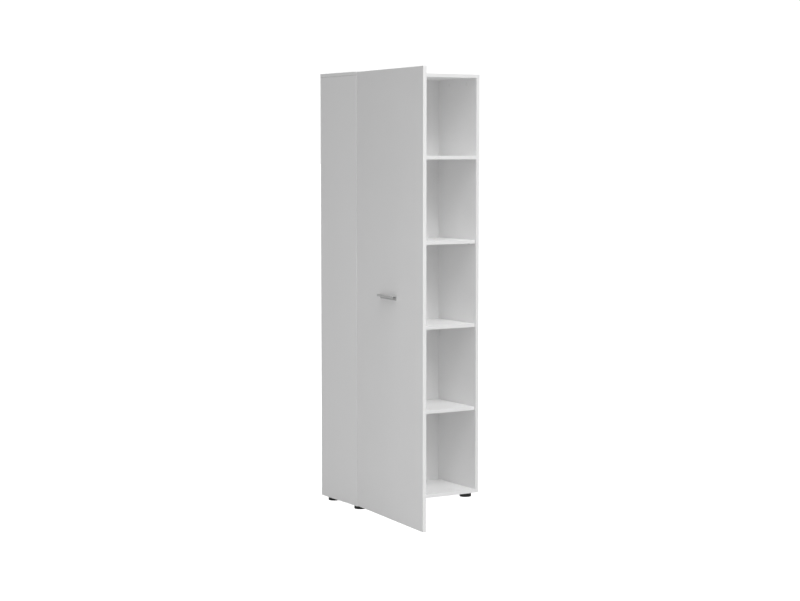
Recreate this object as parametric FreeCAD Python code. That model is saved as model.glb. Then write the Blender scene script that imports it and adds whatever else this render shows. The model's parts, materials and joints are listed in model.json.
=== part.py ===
"""A tall single-door cabinet wardrobe with five compartments, door open at rest.

Millimetres. The origin is on the floor at the middle of the carcass. X runs to the right as seen
from the front, Y runs to the back and Z is up. The door and its fittings are drawn closed and then
swung open about the hinge pins.
"""
import math
import os

import FreeCAD
import Part

Vec = FreeCAD.Vector
X_AXIS = Vec(1, 0, 0)
Y_AXIS = Vec(0, 1, 0)
Z_AXIS = Vec(0, 0, 1)

# Overall sizes
WIDTH = 650.0
DEPTH = 325.0
CARCASS_HEIGHT = 1930.0

# Boards
BOARD = 16.0
BACK_THICK = 3.0
EDGE_BEVEL = 0.5
JOINT_GROOVE_HEIGHT = 0.5
JOINT_GROOVE_DEPTH = 2.0
BACK_REBATE_DEPTH = 4.0
BACK_REBATE_WIDTH = 8.0
BACK_CLEARANCE = 0.5
COMPARTMENTS = 5
SHELF_RECESS = 10.0
SHELF_END_CLEARANCE = 0.5
SHELF_BACK_CLEARANCE = 1.0

# Feet
FOOT_HEIGHT = 20.0
FOOT_DIAMETER = 55.0
FOOT_INSET = 43.0
FOOT_CHAMFER = 0.8
FOOT_SCREW_DIAMETER = 4.5
FOOT_SCREW_HEAD_DIAMETER = 9.0
FOOT_SCREW_HEAD_HEIGHT = 3.0
FOOT_SCREW_SUNK = 6.0
FOOT_SCREW_GRIP = 12.0

# Door
DOOR_THICK = 16.0
DOOR_SIDE_REVEAL = 2.0
DOOR_TOP_REVEAL = 2.0
DOOR_BOTTOM_REVEAL = 3.0
DOOR_GAP = 3.7
DOOR_EDGE_BEVEL = 0.4
DOOR_OPEN_DEG = 95.0
BUMPER_DIAMETER = 9.0
BUMPER_THICK = 3.0
BUMPER_FROM_TOP = 40.0

# Hinges: one pin in each cup, carried by a curved arm
HINGE_COUNT = 4
HINGE_END_MARGIN = 110.0
HINGE_SHELF_CLEARANCE = 60.0
AXIS_FROM_DOOR_EDGE = 7.7
AXIS_FROM_DOOR_FACE = 6.4
CUP_DIAMETER = 35.0
CUP_EDGE_DISTANCE = 3.0
CUP_DEPTH = 11.5
CUP_WALL = 1.0
CUP_FLOOR = 0.8
CUP_CLEARANCE = 0.05
CUP_POCKET_WALL = 0.5
CUP_FLANGE_THICK = 1.2
CUP_FLANGE_CORNER = 4.0
CUP_FLANGE_SETBACK = 2.5
CUP_EAR_RADIUS = 6.0
CUP_SCREW_SPACING = 45.0
CUP_SCREW_OFFSET = 9.5
CUP_SCREW_DIAMETER = 3.0
CUP_SCREW_HEAD_DIAMETER = 6.5
CUP_SCREW_HEAD_HEIGHT = 1.6
CUP_SCREW_GRIP = 11.0
PIN_DIAMETER = 3.0
PIN_END_COVER = 1.0
PIN_CHEEK = 4.0
PIN_RUNNING_CLEARANCE = 0.05
PIN_SEAT_CLEARANCE = 0.02
EYE_DIAMETER = 5.8
NECK_WIDTH = 9.6
NECK_THICK = 3.0
NECK_SIDE_CLEARANCE = 0.4
NECK_BEND = 6.0
ARM_LENGTH = 66.0
ARM_FRONT_SETBACK = 4.0
ARM_LEG_HEIGHT = 6.5
ARM_SHEET = 1.5
PLATE_HOLE_SETBACK = 37.0
PLATE_HOLE_SPACING = 32.0
PLATE_WING_RADIUS = 8.0
PLATE_THICK = 2.5
PLATE_HUMP_WIDTH = 11.0
PLATE_HUMP_HEIGHT = 8.0
PLATE_HUMP_FRONT = 22.0
PLATE_HUMP_LENGTH = 40.0
PLATE_HUMP_CLEARANCE = 0.4
PLATE_SCREW_DIAMETER = 5.0
PLATE_SCREW_HEAD_DIAMETER = 9.0
PLATE_SCREW_HEAD_HEIGHT = 2.0
PLATE_SCREW_GRIP = 11.0
ARM_SCREW_DIAMETER = 4.0
ARM_SCREW_HEAD_DIAMETER = 7.5
ARM_SCREW_HEAD_HEIGHT = 2.2
ARM_SCREW_GRIP = 6.0
ARM_SCREW_SETBACKS = (30.0, 52.0)
ARM_SLOT_CLEARANCE = 0.3
FASTENER_SIDES = 6
CAM_SIDES = 12
ROUND_SIDES = 16
CUP_SIDES = 20
FOOT_SIDES = 36
THREAD_CLEARANCE = 0.05

# Handle: an extruded lip pull in the middle of the door
HANDLE_LENGTH = 150.0
HANDLE_HEIGHT = 19.0
HANDLE_PROJECTION = 20.0
HANDLE_WALL = 3.0
HANDLE_LIP_HEIGHT = 10.0
HANDLE_NOSE_ROUND = 1.4
HANDLE_DROP = 5.5
HANDLE_HOLE_SPACING = 128.0
HANDLE_BOSS_DIAMETER = 9.0
HANDLE_BOSS_HEIGHT = 9.0
HANDLE_SCREW_DIAMETER = 4.0
HANDLE_SCREW_HEAD_DIAMETER = 8.0
HANDLE_SCREW_HEAD_HEIGHT = 2.6
HANDLE_SCREW_GRIP = 7.0

# Fittings that hold the carcass together
FITTING_FRONT = 85.0
FITTING_BACK = 90.0
CAM_DIAMETER = 15.0
CAM_HEIGHT = 12.0
CAM_CLEARANCE = 0.05
CAM_FROM_END = 24.0
CAM_CAP_THICK = 0.4
CAM_CAP_DIAMETER = 17.0
BOLT_DIAMETER = 6.0
BOLT_GRIP = 10.0
BOLT_CLEARANCE = 0.05
DOWEL_DIAMETER = 8.0
DOWEL_LENGTH = 30.0
DOWEL_DEPTH_IN_FACE = 11.0
DOWEL_CLEARANCE = 0.05
DOWEL_FROM_BOLT = 32.0
SHELF_PIN_DIAMETER = 5.0
SHELF_PIN_DEPTH = 9.0
SHELF_PIN_REACH = 9.0
SHELF_PIN_WIDTH = 8.0
SHELF_PIN_THICK = 4.0
SHELF_PIN_INSET = 45.0
NAIL_DIAMETER = 1.6
NAIL_HEAD_DIAMETER = 4.0
NAIL_HEAD_THICK = 0.6
NAIL_GRIP = 14.0
NAIL_CLEARANCE = 0.05
NAILS_PER_SIDE = 4
NAILS_ACROSS = 2
NAIL_END_MARGIN = 60.0

# Wall fixing angles under the top panel
ANGLE_SPACING = 400.0
ANGLE_WIDTH = 24.0
ANGLE_LEG = 36.0
ANGLE_SHEET = 2.0
ANGLE_BEND = 3.0
WALL_HOLE_DIAMETER = 6.0
WALL_HOLE_DROP = 22.0
ANGLE_SCREW_DIAMETER = 3.5
ANGLE_SCREW_HEAD_DIAMETER = 7.0
ANGLE_SCREW_HEAD_HEIGHT = 2.0
ANGLE_SCREW_GRIP = 11.0
ANGLE_SCREW_SETBACK = 24.0

# Planes that the pieces share
LEFT = -WIDTH / 2
RIGHT = WIDTH / 2
FRONT = -DEPTH / 2
BACK = DEPTH / 2
BASE = FOOT_HEIGHT
TOP = FOOT_HEIGHT + CARCASS_HEIGHT
INNER_LEFT = LEFT + BOARD
INNER_RIGHT = RIGHT - BOARD
TOP_UNDER = TOP - BOARD
BASE_TOP = BASE + BOARD
BACK_FRONT = BACK - BACK_REBATE_DEPTH
BACK_REAR = BACK_FRONT + BACK_THICK
SHELF_PITCH = CARCASS_HEIGHT / COMPARTMENTS
FITTING_ROWS = (FRONT + FITTING_FRONT, BACK_FRONT - FITTING_BACK)
DOOR_LEFT = LEFT + DOOR_SIDE_REVEAL
DOOR_RIGHT = RIGHT - DOOR_SIDE_REVEAL
DOOR_BOTTOM = BASE + DOOR_BOTTOM_REVEAL
DOOR_TOP = TOP - DOOR_TOP_REVEAL
DOOR_INNER = FRONT - DOOR_GAP
DOOR_OUTER = DOOR_INNER - DOOR_THICK
DOOR_HEIGHT = DOOR_TOP - DOOR_BOTTOM
AXIS_X = DOOR_LEFT + AXIS_FROM_DOOR_EDGE
AXIS_Y = DOOR_INNER - AXIS_FROM_DOOR_FACE
CUP_RADIUS = CUP_DIAMETER / 2
CUP_X = DOOR_LEFT + CUP_EDGE_DISTANCE + CUP_RADIUS
PIN_FAR_SIDE = CUP_X - AXIS_X + PIN_DIAMETER / 2
PIN_LENGTH = 2 * ((CUP_RADIUS**2 - PIN_FAR_SIDE**2) ** 0.5 - PIN_END_COVER)
ARM_BASE_X = INNER_LEFT + PLATE_THICK
ARM_WEB_X = INNER_LEFT + PLATE_HUMP_HEIGHT


def shelf_under(level):
    """Height of the underside of a shelf, counted from the bottom compartment."""
    return BASE + level * SHELF_PITCH


def box(x0, x1, y0, y1, z0, z1):
    return Part.makeBox(x1 - x0, y1 - y0, z1 - z0, Vec(x0, y0, z0))


def rod(start, axis, diameter, length):
    return Part.makeCylinder(diameter / 2, length, start, axis)


def edges_where(shape, keep):
    """The straight edges whose middle and direction pass the test."""
    found = []
    for edge in shape.Edges:
        middle = edge.valueAt((edge.FirstParameter + edge.LastParameter) / 2)
        if keep(middle, edge.tangentAt(edge.FirstParameter)):
            found.append(edge)
    return found


def rounded(shape, radius, keep):
    return shape.makeFillet(radius, edges_where(shape, keep))


def beveled(shape, size, keep):
    return shape.makeChamfer(size, edges_where(shape, keep))


def near(value, target):
    return abs(value - target) < 0.01


def along(direction, axis):
    return abs(direction.dot(axis)) > 0.99


def swing(shape):
    """Turn a piece that was drawn with the door closed to the open rest pose."""
    turned = shape.copy()
    turned.rotate(Vec(AXIS_X, AXIS_Y, 0), Z_AXIS, -DOOR_OPEN_DEG)
    return turned


def peg(start, axis, diameter, length, sides=FASTENER_SIDES):
    """A many-sided rod for a small repeated fitting or for the hole that holds it."""
    across = Y_AXIS if along(axis, X_AXIS) else X_AXIS
    up = axis.cross(across)
    points = []
    for index in range(sides + 1):
        angle = 2 * math.pi * (index % sides + 0.5) / sides
        points.append(start + (across * math.cos(angle) + up * math.sin(angle)) * (diameter / 2))
    return Part.Face(Part.makePolygon(points)).extrude(axis * length)


def over_flats(diameter, sides):
    """The corner to corner size of a many-sided rod whose flats lie at this diameter."""
    return diameter / math.cos(math.pi / sides)


def headed(seat, axis, shank, grip, head, head_height, grow=0):
    """A screw or nail: the head stands on its seat, the shank runs along the axis.

    With a growth it is the hole for the shank.
    """
    stem = peg(seat, axis, shank + 2 * grow, grip + grow)
    if grow:
        return stem
    return stem.fuse(peg(seat, axis * -1, head, head_height)).removeSplitter()


def save(name, solids):
    shape = solids[0] if len(solids) == 1 else Part.makeCompound(solids)
    shape.exportStep("parts/" + name + ".step")


def hinge_heights():
    """Hinge heights spread over the door and kept clear of the shelves."""
    low = DOOR_BOTTOM + HINGE_END_MARGIN
    step = (DOOR_HEIGHT - 2 * HINGE_END_MARGIN) / (HINGE_COUNT - 1)
    heights = []
    for index in range(HINGE_COUNT):
        height = low + index * step
        for level in range(1, COMPARTMENTS):
            offset = height - (shelf_under(level) + BOARD / 2)
            if abs(offset) < HINGE_SHELF_CLEARANCE:
                side = 1 if offset >= 0 else -1
                height += side * HINGE_SHELF_CLEARANCE - offset
        heights.append(height)
    return heights


def end_fittings(board_under, cam_face_up, grow=0):
    """Cams, caps, bolts and dowels at both ends of a board that stands between the sides."""
    fittings = new_fittings()
    middle = board_under + BOARD / 2
    face = board_under + BOARD if cam_face_up else board_under
    into = Z_AXIS * (-1 if cam_face_up else 1)
    for wall, inward in ((INNER_LEFT, X_AXIS), (INNER_RIGHT, X_AXIS * -1)):
        for row in FITTING_ROWS:
            centre = Vec(wall, row, face) + inward * CAM_FROM_END
            joint = Vec(wall, row, middle)
            add_cam(fittings, centre, into, joint, inward, grow)
            add_dowel(fittings, joint + Y_AXIS * DOWEL_FROM_BOLT, inward, grow)
    return fittings


def top_fittings(grow=0):
    """The top lies on the sides, so its cams are in the sides' inner faces."""
    fittings = new_fittings()
    down = Z_AXIS * -1
    for wall, outside, into in ((INNER_LEFT, LEFT, X_AXIS * -1), (INNER_RIGHT, RIGHT, X_AXIS)):
        for row in FITTING_ROWS:
            centre = Vec(wall, row, TOP_UNDER - CAM_FROM_END)
            joint = Vec((wall + outside) / 2, row, TOP_UNDER)
            add_cam(fittings, centre, into, joint, down, grow)
            add_dowel(fittings, joint + Y_AXIS * DOWEL_FROM_BOLT, down, grow)
    return fittings


def new_fittings():
    return {"cams": [], "caps": [], "bolts": [], "dowels": []}


def add_cam(fittings, face, into, joint, inward, grow):
    """One cam with its cap and its bolt, which crosses the joint and runs inward to the cam."""
    cam_slack = CAM_CLEARANCE if grow else 0
    bolt_slack = BOLT_CLEARANCE if grow else 0
    length = BOLT_GRIP + CAM_FROM_END - CAM_DIAMETER / 2 - BOLT_CLEARANCE
    cam = peg(face, into, CAM_DIAMETER + 2 * cam_slack, CAM_HEIGHT + cam_slack, CAM_SIDES)
    fittings["cams"].append(cam)
    fittings["caps"].append(peg(face, into * -1, CAM_CAP_DIAMETER, CAM_CAP_THICK, CAM_SIDES))
    start = joint - inward * (BOLT_GRIP + bolt_slack)
    stem = peg(start, inward, BOLT_DIAMETER + 2 * bolt_slack, length + 2 * bolt_slack)
    fittings["bolts"].append(stem)


def add_dowel(fittings, joint, inward, grow):
    """One dowel across a joint, set to its depth in the outer board."""
    slack = DOWEL_CLEARANCE if grow else 0
    start = joint - inward * (DOWEL_DEPTH_IN_FACE + slack)
    fittings["dowels"].append(peg(start, inward, DOWEL_DIAMETER + 2 * slack, DOWEL_LENGTH + 2 * slack))


def board_with_holes(board, holes):
    """Cut the holes that reach this board."""
    limits = board.BoundBox
    touching = [hole for hole in holes if limits.intersect(hole.BoundBox)]
    return board.cut(touching) if touching else board


def nails(grow=0):
    """Nails through the back into the sides, the top, the bottom and the fixed shelf."""
    forward = Y_AXIS * -1
    seats = []
    step = (CARCASS_HEIGHT - 2 * NAIL_END_MARGIN) / (NAILS_PER_SIDE - 1)
    for x in (INNER_LEFT - BACK_REBATE_WIDTH / 2, INNER_RIGHT + BACK_REBATE_WIDTH / 2):
        for index in range(NAILS_PER_SIDE):
            seats.append(Vec(x, BACK_REAR, BASE + NAIL_END_MARGIN + index * step))
    rows = (
        BASE + BOARD / 2,
        shelf_under(COMPARTMENTS - 1) + BOARD / 2,
        TOP_UNDER + BACK_REBATE_WIDTH / 2,
    )
    gap = (INNER_RIGHT - INNER_LEFT) / (NAILS_ACROSS + 1)
    for z in rows:
        for index in range(NAILS_ACROSS):
            seats.append(Vec(INNER_LEFT + (index + 1) * gap, BACK_REAR, z))
    sizes = (NAIL_DIAMETER, NAIL_GRIP, NAIL_HEAD_DIAMETER, NAIL_HEAD_THICK, grow)
    return [headed(seat, forward, *sizes) for seat in seats]


def shelf_pins(grow=0):
    """A peg in the side with a flat spade that the shelf lies on, or the peg's hole."""
    made = []
    rows = (FRONT + SHELF_RECESS + SHELF_PIN_INSET, BACK_FRONT - SHELF_PIN_INSET)
    reach = INNER_LEFT + SHELF_PIN_REACH
    half = SHELF_PIN_WIDTH / 2
    for level in range(1, COMPARTMENTS - 1):
        under = shelf_under(level)
        for row in rows:
            root = Vec(INNER_LEFT, row, under - SHELF_PIN_DIAMETER / 2)
            left = peg(root, X_AXIS * -1, SHELF_PIN_DIAMETER + 2 * grow, SHELF_PIN_DEPTH + grow)
            if not grow:
                spade = box(INNER_LEFT, reach, row - half, row + half, under - SHELF_PIN_THICK, under)
                left = left.fuse(spade).removeSplitter()
            made.append(left)
            made.append(left.mirror(Vec(0, 0, 0), X_AXIS))
    return made


def side_panel(holes, outer, inner):
    """A full height side with a rear rebate for the back. The bottom stands between the sides."""
    low, high = min(outer, inner), max(outer, inner)
    board = box(low, high, FRONT, BACK, BASE, TOP_UNDER)
    toward = 1 if outer > inner else -1
    board = beveled(
        board,
        EDGE_BEVEL,
        lambda p, d: along(d, Z_AXIS) and (near(p.x, outer) or near(p.y, FRONT)),
    )
    shoulder = inner + toward * BACK_REBATE_WIDTH
    rebate = box(min(inner, shoulder), max(inner, shoulder), BACK_FRONT, BACK, BASE, TOP_UNDER)
    return board_with_holes(board.cut(rebate), holes)


def top_panel(holes):
    """The top lies on the sides; a fine groove along each end leaves a shadow line at the joint."""
    board = box(LEFT, RIGHT, FRONT, BACK, TOP_UNDER, TOP)
    board = beveled(
        board, EDGE_BEVEL, lambda p, d: near(p.z, TOP) or near(p.y, FRONT) and not along(d, Y_AXIS)
    )
    groove_top = TOP_UNDER + JOINT_GROOVE_HEIGHT
    left_groove = box(LEFT, LEFT + JOINT_GROOVE_DEPTH, FRONT, BACK, TOP_UNDER, groove_top)
    right_groove = left_groove.mirror(Vec(0, 0, 0), X_AXIS)
    board = board.cut([left_groove, right_groove])
    side = BOARD - BACK_REBATE_WIDTH
    rebate = box(LEFT + side, RIGHT - side, BACK_FRONT, BACK, TOP_UNDER, TOP_UNDER + BACK_REBATE_WIDTH)
    return board_with_holes(board.cut(rebate), holes)


def cross_board(under, holes):
    """A board between the sides, flush with the carcass front."""
    board = box(INNER_LEFT, INNER_RIGHT, FRONT, BACK_FRONT, under, under + BOARD)
    board = beveled(board, EDGE_BEVEL, lambda p, d: near(p.y, FRONT) and along(d, X_AXIS))
    return board_with_holes(board, holes)


def loose_shelf(level):
    """A shelf that lies on pins, set back from the front."""
    under = shelf_under(level)
    left = INNER_LEFT + SHELF_END_CLEARANCE
    right = INNER_RIGHT - SHELF_END_CLEARANCE
    front = FRONT + SHELF_RECESS
    board = box(left, right, front, BACK_FRONT - SHELF_BACK_CLEARANCE, under, under + BOARD)
    return beveled(board, EDGE_BEVEL, lambda p, d: near(p.y, front) and along(d, X_AXIS))


def back_panel(holes):
    side = BACK_REBATE_WIDTH - BACK_CLEARANCE
    high = TOP_UNDER + side
    board = box(INNER_LEFT - side, INNER_RIGHT + side, BACK_FRONT, BACK_REAR, BASE, high)
    return board_with_holes(board, holes)


def foot_places():
    reach_x = WIDTH / 2 - FOOT_INSET
    reach_y = DEPTH / 2 - FOOT_INSET
    return {
        "front_left": (-reach_x, -reach_y),
        "front_right": (reach_x, -reach_y),
        "rear_left": (-reach_x, reach_y),
        "rear_right": (reach_x, reach_y),
    }


def foot(x, y):
    """A moulded round glide on its own screw, eased where it meets the floor."""
    body = peg(Vec(0, 0, 0), Z_AXIS, FOOT_DIAMETER, BASE, FOOT_SIDES)
    body = beveled(body, FOOT_CHAMFER, lambda p, d: near(p.z, 0))
    hole = peg(Vec(0, 0, 0), Z_AXIS, FOOT_SCREW_DIAMETER + 2 * THREAD_CLEARANCE, BASE)
    sink = peg(Vec(0, 0, 0), Z_AXIS, FOOT_SCREW_HEAD_DIAMETER + 1, FOOT_SCREW_SUNK)
    body = body.cut([hole, sink])
    body.translate(Vec(x, y, 0))
    return body


def foot_screws(grow=0):
    grip = BASE - FOOT_SCREW_SUNK + FOOT_SCREW_GRIP
    sizes = (FOOT_SCREW_DIAMETER, grip, FOOT_SCREW_HEAD_DIAMETER, FOOT_SCREW_HEAD_HEIGHT, grow)
    return [headed(Vec(x, y, FOOT_SCREW_SUNK), Z_AXIS, *sizes) for x, y in foot_places().values()]


def cup_screw_places(height):
    x = CUP_X + CUP_SCREW_OFFSET
    return [Vec(x, DOOR_INNER, height + side * CUP_SCREW_SPACING / 2) for side in (-1, 1)]


def hinge_cup(height):
    """A pot let into the door, with a flange, a pocket for the arm and cheeks that hold the pin."""
    outward = Y_AXIS * -1
    rim = Vec(CUP_X, DOOR_INNER, height)
    flange_top = rim + Y_AXIS * CUP_FLANGE_THICK
    low = height - CUP_SCREW_SPACING / 2 - CUP_EAR_RADIUS
    high = height + CUP_SCREW_SPACING / 2 + CUP_EAR_RADIUS
    # the flange stops short of the door's edge, so that it clears the side as the door swings
    edge = DOOR_LEFT + CUP_FLANGE_SETBACK
    far = CUP_X + CUP_SCREW_OFFSET + CUP_EAR_RADIUS
    flange = box(edge, far, DOOR_INNER, flange_top.y, low, high)
    flange = beveled(flange, CUP_FLANGE_CORNER, lambda p, d: along(d, Y_AXIS))
    body = peg(rim, outward, CUP_DIAMETER, CUP_DEPTH, CUP_SIDES).fuse(flange)
    inside_depth = CUP_DEPTH - CUP_FLOOR + CUP_FLANGE_THICK
    inside = peg(flange_top, outward, CUP_DIAMETER - 2 * CUP_WALL, inside_depth, CUP_SIDES)
    # two solid cheeks are left beside the pocket to hold the pin
    cheek_end = AXIS_X + PIN_CHEEK
    inside = inside.cut(box(cheek_end - CUP_DIAMETER, cheek_end, DOOR_OUTER, FRONT, low, high))
    pocket_half = NECK_WIDTH / 2 + NECK_SIDE_CLEARANCE
    chord = (CUP_RADIUS**2 - pocket_half**2) ** 0.5 - CUP_POCKET_WALL
    floor = flange_top.y - inside_depth
    pocket = box(CUP_X - chord, CUP_X, floor, flange_top.y, height - pocket_half, height + pocket_half)
    seat_bore = over_flats(PIN_DIAMETER + 2 * PIN_SEAT_CLEARANCE, CAM_SIDES)
    pin_start = Vec(AXIS_X, AXIS_Y, height - PIN_LENGTH / 2)
    pin_seat = peg(pin_start, Z_AXIS, seat_bore, PIN_LENGTH, CAM_SIDES)
    return body.cut([inside, pocket, pin_seat] + cup_screws(height, THREAD_CLEARANCE))


def hinge_pin(height):
    return rod(Vec(AXIS_X, AXIS_Y, height - PIN_LENGTH / 2), Z_AXIS, PIN_DIAMETER, PIN_LENGTH)


def cup_screws(height, grow=0):
    grip = CUP_FLANGE_THICK + CUP_SCREW_GRIP
    sizes = (CUP_SCREW_DIAMETER, grip, CUP_SCREW_HEAD_DIAMETER, CUP_SCREW_HEAD_HEIGHT, grow)
    lift = Y_AXIS * CUP_FLANGE_THICK
    return [headed(place + lift, Y_AXIS * -1, *sizes) for place in cup_screw_places(height)]


def neck_outline():
    """The curved neck in plan: from the eye round a bend and back along the arm."""
    half = NECK_THICK / 2
    back_y = FRONT + ARM_FRONT_SETBACK + NECK_BEND
    line_x = ARM_WEB_X + half
    bend_x = line_x - NECK_BEND
    bend_y = AXIS_Y + NECK_BEND
    outer = NECK_BEND + half
    inner = NECK_BEND - half
    diagonal = 0.5**0.5
    centre = Vec(bend_x, bend_y, 0)
    points = {
        "eye_front": Vec(AXIS_X, AXIS_Y - half, 0),
        "outer_start": Vec(bend_x, AXIS_Y - half, 0),
        "outer_middle": centre + Vec(outer * diagonal, -outer * diagonal, 0),
        "outer_end": Vec(line_x + half, bend_y, 0),
        "back_right": Vec(line_x + half, back_y, 0),
        "back_left": Vec(line_x - half, back_y, 0),
        "inner_end": Vec(line_x - half, bend_y, 0),
        "inner_middle": centre + Vec(inner * diagonal, -inner * diagonal, 0),
        "inner_start": Vec(bend_x, AXIS_Y + half, 0),
        "eye_back": Vec(AXIS_X, AXIS_Y + half, 0),
    }
    p = points
    edges = [
        Part.LineSegment(p["eye_front"], p["outer_start"]).toShape(),
        Part.Arc(p["outer_start"], p["outer_middle"], p["outer_end"]).toShape(),
        Part.LineSegment(p["outer_end"], p["back_right"]).toShape(),
        Part.LineSegment(p["back_right"], p["back_left"]).toShape(),
        Part.LineSegment(p["back_left"], p["inner_end"]).toShape(),
        Part.Arc(p["inner_end"], p["inner_middle"], p["inner_start"]).toShape(),
        Part.LineSegment(p["inner_start"], p["eye_back"]).toShape(),
        Part.LineSegment(p["eye_back"], p["eye_front"]).toShape(),
    ]
    return Part.Face(Part.Wire(edges))


def arm_screw_seats(height):
    web = ARM_WEB_X + ARM_SHEET
    return [Vec(web, FRONT + setback, height) for setback in ARM_SCREW_SETBACKS]


def hinge_arm(height):
    """A pressed channel over the plate's hump, with a curved neck that ends in the pin's eye."""
    channel_half = PLATE_HUMP_WIDTH / 2 + PLATE_HUMP_CLEARANCE + ARM_SHEET
    start = FRONT + ARM_FRONT_SETBACK
    end = start + ARM_LENGTH
    web_out = ARM_WEB_X + ARM_SHEET
    low = web_out - ARM_LEG_HEIGHT
    channel = box(low, web_out, start, end, height - channel_half, height + channel_half)
    channel = beveled(channel, ARM_SHEET, lambda p, d: near(p.x, web_out) and along(d, Y_AXIS))
    gap = channel_half - ARM_SHEET
    channel = channel.cut(box(low, ARM_WEB_X, start, end, height - gap, height + gap))
    foot_of_neck = Vec(0, 0, height - NECK_WIDTH / 2)
    neck = neck_outline().extrude(Vec(0, 0, NECK_WIDTH))
    neck.translate(foot_of_neck)
    pivot = Vec(AXIS_X, AXIS_Y, 0) + foot_of_neck
    eye = peg(pivot, Z_AXIS, EYE_DIAMETER, NECK_WIDTH, ROUND_SIDES)
    bore = rod(pivot, Z_AXIS, PIN_DIAMETER + 2 * PIN_RUNNING_CLEARANCE, NECK_WIDTH)
    body = channel.fuse([neck, eye]).removeSplitter()
    # the rear screw sits in a slot that is open at the back, so that the arm can be slid on and set
    slot_half = ARM_SCREW_DIAMETER / 2 + ARM_SLOT_CLEARANCE
    slot_start = FRONT + ARM_SCREW_SETBACKS[-1] - slot_half
    slot = box(low, web_out, slot_start, end, height - slot_half, height + slot_half)
    return body.cut([bore, slot] + arm_screws(height, THREAD_CLEARANCE))


def plate_screw_seats(height):
    y = FRONT + PLATE_HOLE_SETBACK
    half = PLATE_HOLE_SPACING / 2
    return [Vec(ARM_BASE_X, y, height + side * half) for side in (-1, 1)]


def hinge_plate(height):
    """A winged plate on the side with a hump that the arm sits on."""
    y = FRONT + PLATE_HOLE_SETBACK
    half = PLATE_HOLE_SPACING / 2
    wing = box(
        INNER_LEFT, ARM_BASE_X, y - PLATE_WING_RADIUS, y + PLATE_WING_RADIUS, height - half, height + half
    )
    tips = []
    tip_size = over_flats(2 * PLATE_WING_RADIUS, ROUND_SIDES)
    for side in (-1, 1):
        centre = Vec(INNER_LEFT, y, height + side * half)
        tips.append(peg(centre, X_AXIS, tip_size, PLATE_THICK, ROUND_SIDES))
    front = FRONT + PLATE_HUMP_FRONT
    hump_half = PLATE_HUMP_WIDTH / 2
    hump = box(
        INNER_LEFT, ARM_WEB_X, front, front + PLATE_HUMP_LENGTH, height - hump_half, height + hump_half
    )
    body = wing.fuse(tips + [hump]).removeSplitter()
    holes = plate_screws(height, THREAD_CLEARANCE) + arm_screws(height, THREAD_CLEARANCE)
    return body.cut(holes)


def plate_screws(height, grow=0):
    grip = PLATE_THICK + PLATE_SCREW_GRIP
    sizes = (PLATE_SCREW_DIAMETER, grip, PLATE_SCREW_HEAD_DIAMETER, PLATE_SCREW_HEAD_HEIGHT, grow)
    return [headed(seat, X_AXIS * -1, *sizes) for seat in plate_screw_seats(height)]


def arm_screws(height, grow=0):
    grip = ARM_SHEET + ARM_SCREW_GRIP
    sizes = (ARM_SCREW_DIAMETER, grip, ARM_SCREW_HEAD_DIAMETER, ARM_SCREW_HEAD_HEIGHT, grow)
    return [headed(seat, X_AXIS * -1, *sizes) for seat in arm_screw_seats(height)]


def handle_places():
    middle = (DOOR_LEFT + DOOR_RIGHT) / 2
    height = (DOOR_BOTTOM + DOOR_TOP) / 2 - HANDLE_DROP
    return [Vec(middle + side * HANDLE_HOLE_SPACING / 2, DOOR_OUTER, height) for side in (-1, 1)]


def handle():
    """An extruded lip: a plate on the door, a web on top and a lip that turns down in front."""
    outward = Y_AXIS * -1
    places = handle_places()
    middle = (places[0] + places[1]) * 0.5
    top = middle.z + HANDLE_HEIGHT / 2
    under_web = top - HANDLE_WALL
    lip_back = DOOR_OUTER - HANDLE_PROJECTION + HANDLE_WALL
    nose = DOOR_OUTER - HANDLE_PROJECTION
    plate = DOOR_OUTER - HANDLE_WALL
    bottom = middle.z - HANDLE_HEIGHT / 2
    lip_end = top - HANDLE_LIP_HEIGHT
    x0 = middle.x - HANDLE_LENGTH / 2
    outline = [
        Vec(x0, DOOR_OUTER, bottom),
        Vec(x0, DOOR_OUTER, top),
        Vec(x0, nose, top),
        Vec(x0, nose, lip_end),
        Vec(x0, lip_back, lip_end),
        Vec(x0, lip_back, under_web),
        Vec(x0, plate, under_web),
        Vec(x0, plate, bottom),
        Vec(x0, DOOR_OUTER, bottom),
    ]
    body = Part.Face(Part.makePolygon(outline)).extrude(Vec(HANDLE_LENGTH, 0, 0))
    body = rounded(
        body, HANDLE_NOSE_ROUND, lambda p, d: along(d, X_AXIS) and not near(p.y, DOOR_OUTER)
    )
    boss = (outward, HANDLE_BOSS_DIAMETER, HANDLE_BOSS_HEIGHT, CAM_SIDES)
    bosses = [peg(place, *boss) for place in places]
    return body.fuse(bosses).removeSplitter().cut(handle_screws(THREAD_CLEARANCE))


def handle_screws(grow=0):
    grip = DOOR_THICK + HANDLE_SCREW_GRIP
    sizes = (HANDLE_SCREW_DIAMETER, grip, HANDLE_SCREW_HEAD_DIAMETER, HANDLE_SCREW_HEAD_HEIGHT, grow)
    return [headed(place + Y_AXIS * DOOR_THICK, Y_AXIS * -1, *sizes) for place in handle_places()]


def door_bumpers():
    """Two soft pads that meet the right side's front edge when the door shuts."""
    x = RIGHT - BOARD / 2
    made = []
    for z in (DOOR_BOTTOM + BUMPER_FROM_TOP, DOOR_TOP - BUMPER_FROM_TOP):
        made.append(peg(Vec(x, DOOR_INNER, z), Y_AXIS, BUMPER_DIAMETER, BUMPER_THICK, CAM_SIDES))
    return made


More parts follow.
